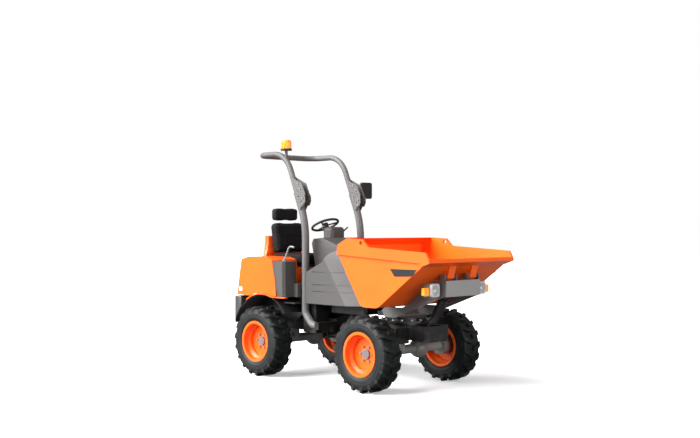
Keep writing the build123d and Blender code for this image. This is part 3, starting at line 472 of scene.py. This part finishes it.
# the bar's corners, from there
stripe = [(-0.506, -0.121), (-0.162, -0.122), (-0.224, -0.184), (-0.445, -0.193)]
stripe_lift, stripe_foot = 0.0008, 0.0001
rail_out = 0.018  # how far the skip's rim band stands outside the side plates
side_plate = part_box("skip")[1][1] - rail_out
paint_black = material("black paint", enamel(colour(0.008, 0.008, 0.008),
                                             colour(0.012, 0.012, 0.012)), Coat_Weight=0.2)
for way, side in ((-1, "right"), (1, "left")):
    shape = bmesh.new()
    outer_y = way * (side_plate + stripe_lift)
    outer = [shape.verts.new((skip_corner[0] + x, outer_y, skip_corner[1] + z))
             for x, z in stripe]
    inner = [shape.verts.new((v.co.x, v.co.y - way * (stripe_lift - stripe_foot), v.co.z))
             for v in outer]
    bridged(shape, [inner, outer])
    shape.faces.new(outer)
    shape.faces.new(inner[::-1])
    mesh = finished(shape, "stripe")
    piece("side_stripe_" + side, mesh, "skip_body", paint_black)


# ---------------------------------------------------------------- carrier, slewing ring and plates
# Folded-plate carrier in grey with the bright bolts of the ring under it, the pale front plate,
# cast axle housings and the studded floor sheet.
dress(material("carrier enamel", enamel(colour(0.13, 0.127, 0.125), colour(0.115, 0.112, 0.11))),
      "skip_carrier")
dress(plate_grey, "front_plate")
dress(cast, "front_axle", "rear_axle")
dress(tread_plate, "floor_plate")


washer_spread, washer_share = 1.45, 0.25  # of the head's radius and of its height
washer_sides, head_sides = 20, 6


def bolt_heads(shape, places, axis, radius, height):
    """Adds hexagon heads on washers; axis points out of the plate they sit on."""
    turn = Vector(axis).to_track_quat("Z", "Y").to_matrix().to_4x4()
    washer = height * washer_share
    for place in places:
        spot = Matrix.Translation(place) @ turn
        for size, low, high, sides in ((radius * washer_spread, 0.0, washer, washer_sides),
                                       (radius, washer, height, head_sides)):
            foot = [shape.verts.new(spot @ Vector((size * cos(a), size * sin(a), low)))
                    for a in turns(sides)]
            rise = spot.to_3x3() @ Vector((0, 0, high - low))
            head = [shape.verts.new(v.co + rise) for v in foot]
            bridged(shape, [foot, head])
            shape.faces.new(head)
            shape.faces.new(foot[::-1])


ring_low, ring_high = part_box("turntable")
bolts_round_ring, bolt_inset = 16, 0.020
bolt_circle = (ring_high[0] - ring_low[0]) / 2 - bolt_inset
ring_x, ring_top = middle_of("turntable")[0], 0.662
shape = bmesh.new()
places = [(ring_x + bolt_circle * cos(a), bolt_circle * sin(a), ring_top)
          for a in turns(bolts_round_ring, 0.5)]
bolt_heads(shape, places, (0, 0, 1), radius=0.010, height=0.014)
mesh = finished(shape, "ring bolts")
piece("slewing_ring_bolts", mesh, "front_chassis", bright, angle=30)


# ---------------------------------------------------------------- headlamps
# Square lamp bodies of pale plastic with a deep bright bowl and a clear round lens, bolted to
# the carrier's arms.
def rounded_square(half_y, half_z, corner, angle):
    """Distance out to a rounded rectangle in a direction."""
    power = 2.0 + 6.0 * (1 - corner)
    return (abs(cos(angle) / half_y) ** power + abs(sin(angle) / half_z) ** power) ** (-1 / power)


def glass_wires(start):
    """Clear glass with upright flutes."""
    return {"Roughness": start.noise(20.0) * 0.05 + 0.05,
            "Normal": start.wave(60.0, "Y").bump(0.001, 0.35)}


bezel = material("lamp bezel", moulded(colour(0.55, 0.55, 0.56), colour(0.48, 0.48, 0.49)))
reflector = material("lamp bowl", enamel(colour(0.42, 0.42, 0.43), colour(0.35, 0.35, 0.36),
                                         dust=0.0, peel=0.0), Metallic=1.0)
lens_glass = material("lamp glass", glass_wires, Base_Color=colour(0.92, 0.94, 0.95),
                      Alpha=0.35, Coat_Weight=0.5)
lamp_corner = 0.15
lamp_steps, lens_steps = 48, 32
bowl_radius = 0.043
# depths behind the front face with radii, from the bowl's rim to its bottom and over the lens
bowl = [(0.0, bowl_radius + 0.004), (0.004, bowl_radius), (0.022, 0.036), (0.036, 0.022),
        (0.040, 0.006)]
lens = [(0.002, bowl_radius - 0.001), (0.001, bowl_radius * 0.8), (0.0005, bowl_radius * 0.45)]
for side in ("right", "left"):
    low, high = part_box("headlamp_" + side)
    middle = middle_of("headlamp_" + side)[1:]
    half_y, half_z = (high[1] - low[1]) / 2, (high[2] - low[2]) / 2
    back, front = low[0], high[0]
    body = [(back, 0.96), (back + 0.006, 1.0), (front - 0.005, 1.0), (front, 0.93)]
    shape = bmesh.new()
    rings = [ring_at(shape, x, middle, lamp_steps,
                     lambda a: share * rounded_square(half_y, half_z, lamp_corner, a))
             for x, share in body]
    rings += [ring_at(shape, front - depth, middle, lamp_steps, lambda a: radius)
              for depth, radius in bowl]
    inside = len(body) + 1
    for band in bridged(shape, rings)[inside:]:
        for face in band:
            face.material_index = 1
    shape.faces.new(rings[0][::-1])
    shape.faces.new(rings[-1]).material_index = 1
    mesh = finished(shape, "headlamp body")
    mesh.materials.append(bezel)
    mesh.materials.append(reflector)
    body_piece = piece("headlamp_body_" + side, mesh, "front_chassis", bezel,
                       angle=40)
    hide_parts("headlamp_" + side)
    shape = bmesh.new()
    rings = [ring_at(shape, front - depth, middle, lens_steps, lambda a: radius)
             for depth, radius in lens]
    bridged(shape, rings)
    shape.faces.new(rings[-1])
    mesh = finished(shape, "lens")
    piece("headlamp_lens_" + side, mesh, "front_chassis", lens_glass)


# ---------------------------------------------------------------- seat
# Foam cushion, back and headrest in black ribbed cloth: each is its CAD pad blown up as cloth,
# then pressed in along its seams, with the side bolsters standing proud of the middle panel.
pad_voxel = 0.006
foam_steps = 20
foam_pressure = 4.0


def bake(made):
    """Replaces an object's mesh by what its modifiers give."""
    shown = made.evaluated_get(bpy.context.evaluated_depsgraph_get())
    mesh = bpy.data.meshes.new_from_object(shown)
    made.modifiers.clear()
    made.data = mesh


def pad(node, seams, press=0.006, swell=0.010):
    """Stands for a foam pad. seams(point) is 1 on a seam and 0 away from it."""
    low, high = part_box(node)
    middle = Vector(middle_of(node))
    size = Vector(high) - Vector(low)
    mesh = bpy.data.meshes.new_from_object(nodes[node])
    mesh.materials.clear()
    mesh.materials.append(fabric)
    made = bpy.data.objects.new(node + "_pad", mesh)
    bpy.context.scene.collection.objects.link(made)
    for vert in mesh.vertices:  # made smaller first, as much as the swelling gives back
        for axis in range(3):
            away = vert.co[axis] - middle[axis]
            vert.co[axis] = middle[axis] + away * (1 - 1.2 * swell / size[axis])
    remesh = made.modifiers.new("skin", "REMESH")
    remesh.mode = "VOXEL"
    remesh.voxel_size = pad_voxel
    ease = made.modifiers.new("ease", "SMOOTH")
    ease.factor = 0.5
    ease.iterations = 40
    bake(made)
    rest = [v.co.copy() for v in made.data.vertices]
    cloth = made.modifiers.new("foam", "CLOTH")
    cloth.settings.use_pressure = True
    cloth.settings.uniform_pressure_force = foam_pressure
    cloth.settings.effector_weights.gravity = 0.0
    for step in range(foam_steps):
        bpy.context.scene.frame_set(step + 1)
    bake(made)
    bpy.context.scene.frame_set(1)
    for vert, start in zip(made.data.vertices, rest):
        move = vert.co - start
        if move.length > swell:
            vert.co = start + move.normalized() * swell
    normals = [v.normal.copy() for v in made.data.vertices]
    for vert, normal in zip(made.data.vertices, normals):
        vert.co -= normal * press * seams(vert.co)
    smooth = made.modifiers.new("fine", "SUBSURF")
    smooth.levels = smooth.render_levels = 1
    bake(made)
    made.data.shade_smooth()
    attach(made, "cover_and_seat")
    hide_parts(node)


seam_width = 0.007


def near(distance):
    return max(0.0, 1 - abs(distance) / seam_width)


def quilted(from_side_seam, from_middle, panel_half, place, lines):
    """A seam along each side, and weaker ones across the middle panel where the lines are."""
    across = max(near(place - line) for line in lines) if from_middle < panel_half else 0.0
    return max(near(from_side_seam), 0.7 * across)


def back_seams(point):
    y, flare = abs(point.y), 0.03 * max(0.0, 1.45 - point.z)
    return quilted(y - 0.135 - flare, y, 0.13, point.z, (1.36, 1.47, 1.56))


def cushion_seams(point):
    y = abs(point.y)
    return quilted(y - 0.145, y, 0.14, point.x, (-1.05, -0.94, -0.83))


def headrest_seams(point):
    return near(abs(point.y) - 0.125)


pad("seat_cushion", cushion_seams)
pad("seat_back", back_seams)
pad("headrest", headrest_seams, press=0.002, swell=0.004)


# ---------------------------------------------------------------- roll-over bar
# Round steel tube in grey enamel; bright bolts hold the folding joint's plates and the latch
# above the pin. The hand levers are finished here too.
def lever_wires(start):
    """Brake lever in pale grey on the right, stalk in black further left."""
    pale, dark = colour(0.22, 0.215, 0.21), colour(0.006, 0.006, 0.006)
    return {"Base Color": start.along(1).between(-0.3, 0.0).tint(pale, dark),
            "Roughness": start.noise(60.0) * 0.15 + 0.3}


dress(bar_grey, "roll_bar_leg_right", "roll_bar_leg_left", "roll_bar_hoop")
dress(material("lever finish", lever_wires), "hand_levers")
leg_y = middle_of("roll_bar_leg_right")[1]
# for each body, how far its plates' faces are from the tube's middle, and its bolts as x and z
fold_bolts = {"rear_chassis": (0.0435, [(-0.470, 1.815), (-0.545, 1.900), (-0.470, 1.872)]),
              "upper_roll_bar": (0.0335, [(-0.520, 1.975), (-0.560, 2.030)])}
for body, (reach, spots) in fold_bolts.items():
    for way, side in ((1, "right"), (-1, "left")):
        shape = bmesh.new()
        for face in (-1, 1):
            places = [(x, way * leg_y + face * reach, z) for x, z in spots]
            bolt_heads(shape, places, (0, face, 0), radius=0.0085, height=0.009)
        mesh = finished(shape, "fold bolts")
        piece("fold_bolts_" + body + "_" + side, mesh, body, bright, angle=30)


# ---------------------------------------------------------------- mirror
# Black mirror head on its arm, with its glass towards the seat.
def mirror_wires(start):
    """Silvered glass, with barely any film on it."""
    return {"Roughness": start.noise(15.0) * 0.03 + 0.02}


mirror_glass = material("mirror glass", mirror_wires, Base_Color=colour(0.8, 0.82, 0.84),
                        Metallic=1.0)
glass_half_y, glass_half_z, glass_corner = 0.076, 0.083, 0.3
glass_steps = 40
head_thickness, glass_proud = 0.028, 0.0005
head_y = (0.452 + 0.617) / 2  # the mirror's box also holds its arm, so this isn't its middle
glass_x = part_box("mirror")[1][0] - head_thickness - glass_proud
shape = bmesh.new()
rings = [ring_at(shape, x, (head_y, middle_of("mirror")[2]), glass_steps,
                 lambda a: share * rounded_square(glass_half_y, glass_half_z, glass_corner, a))
         for x, share in ((glass_x + 0.0015, 0.98), (glass_x, 0.97), (glass_x, 0.90))]
bridged(shape, rings)
shape.faces.new(rings[-1])
mesh = finished(shape, "mirror glass")
piece("mirror_glass", mesh, "upper_roll_bar", mirror_glass)
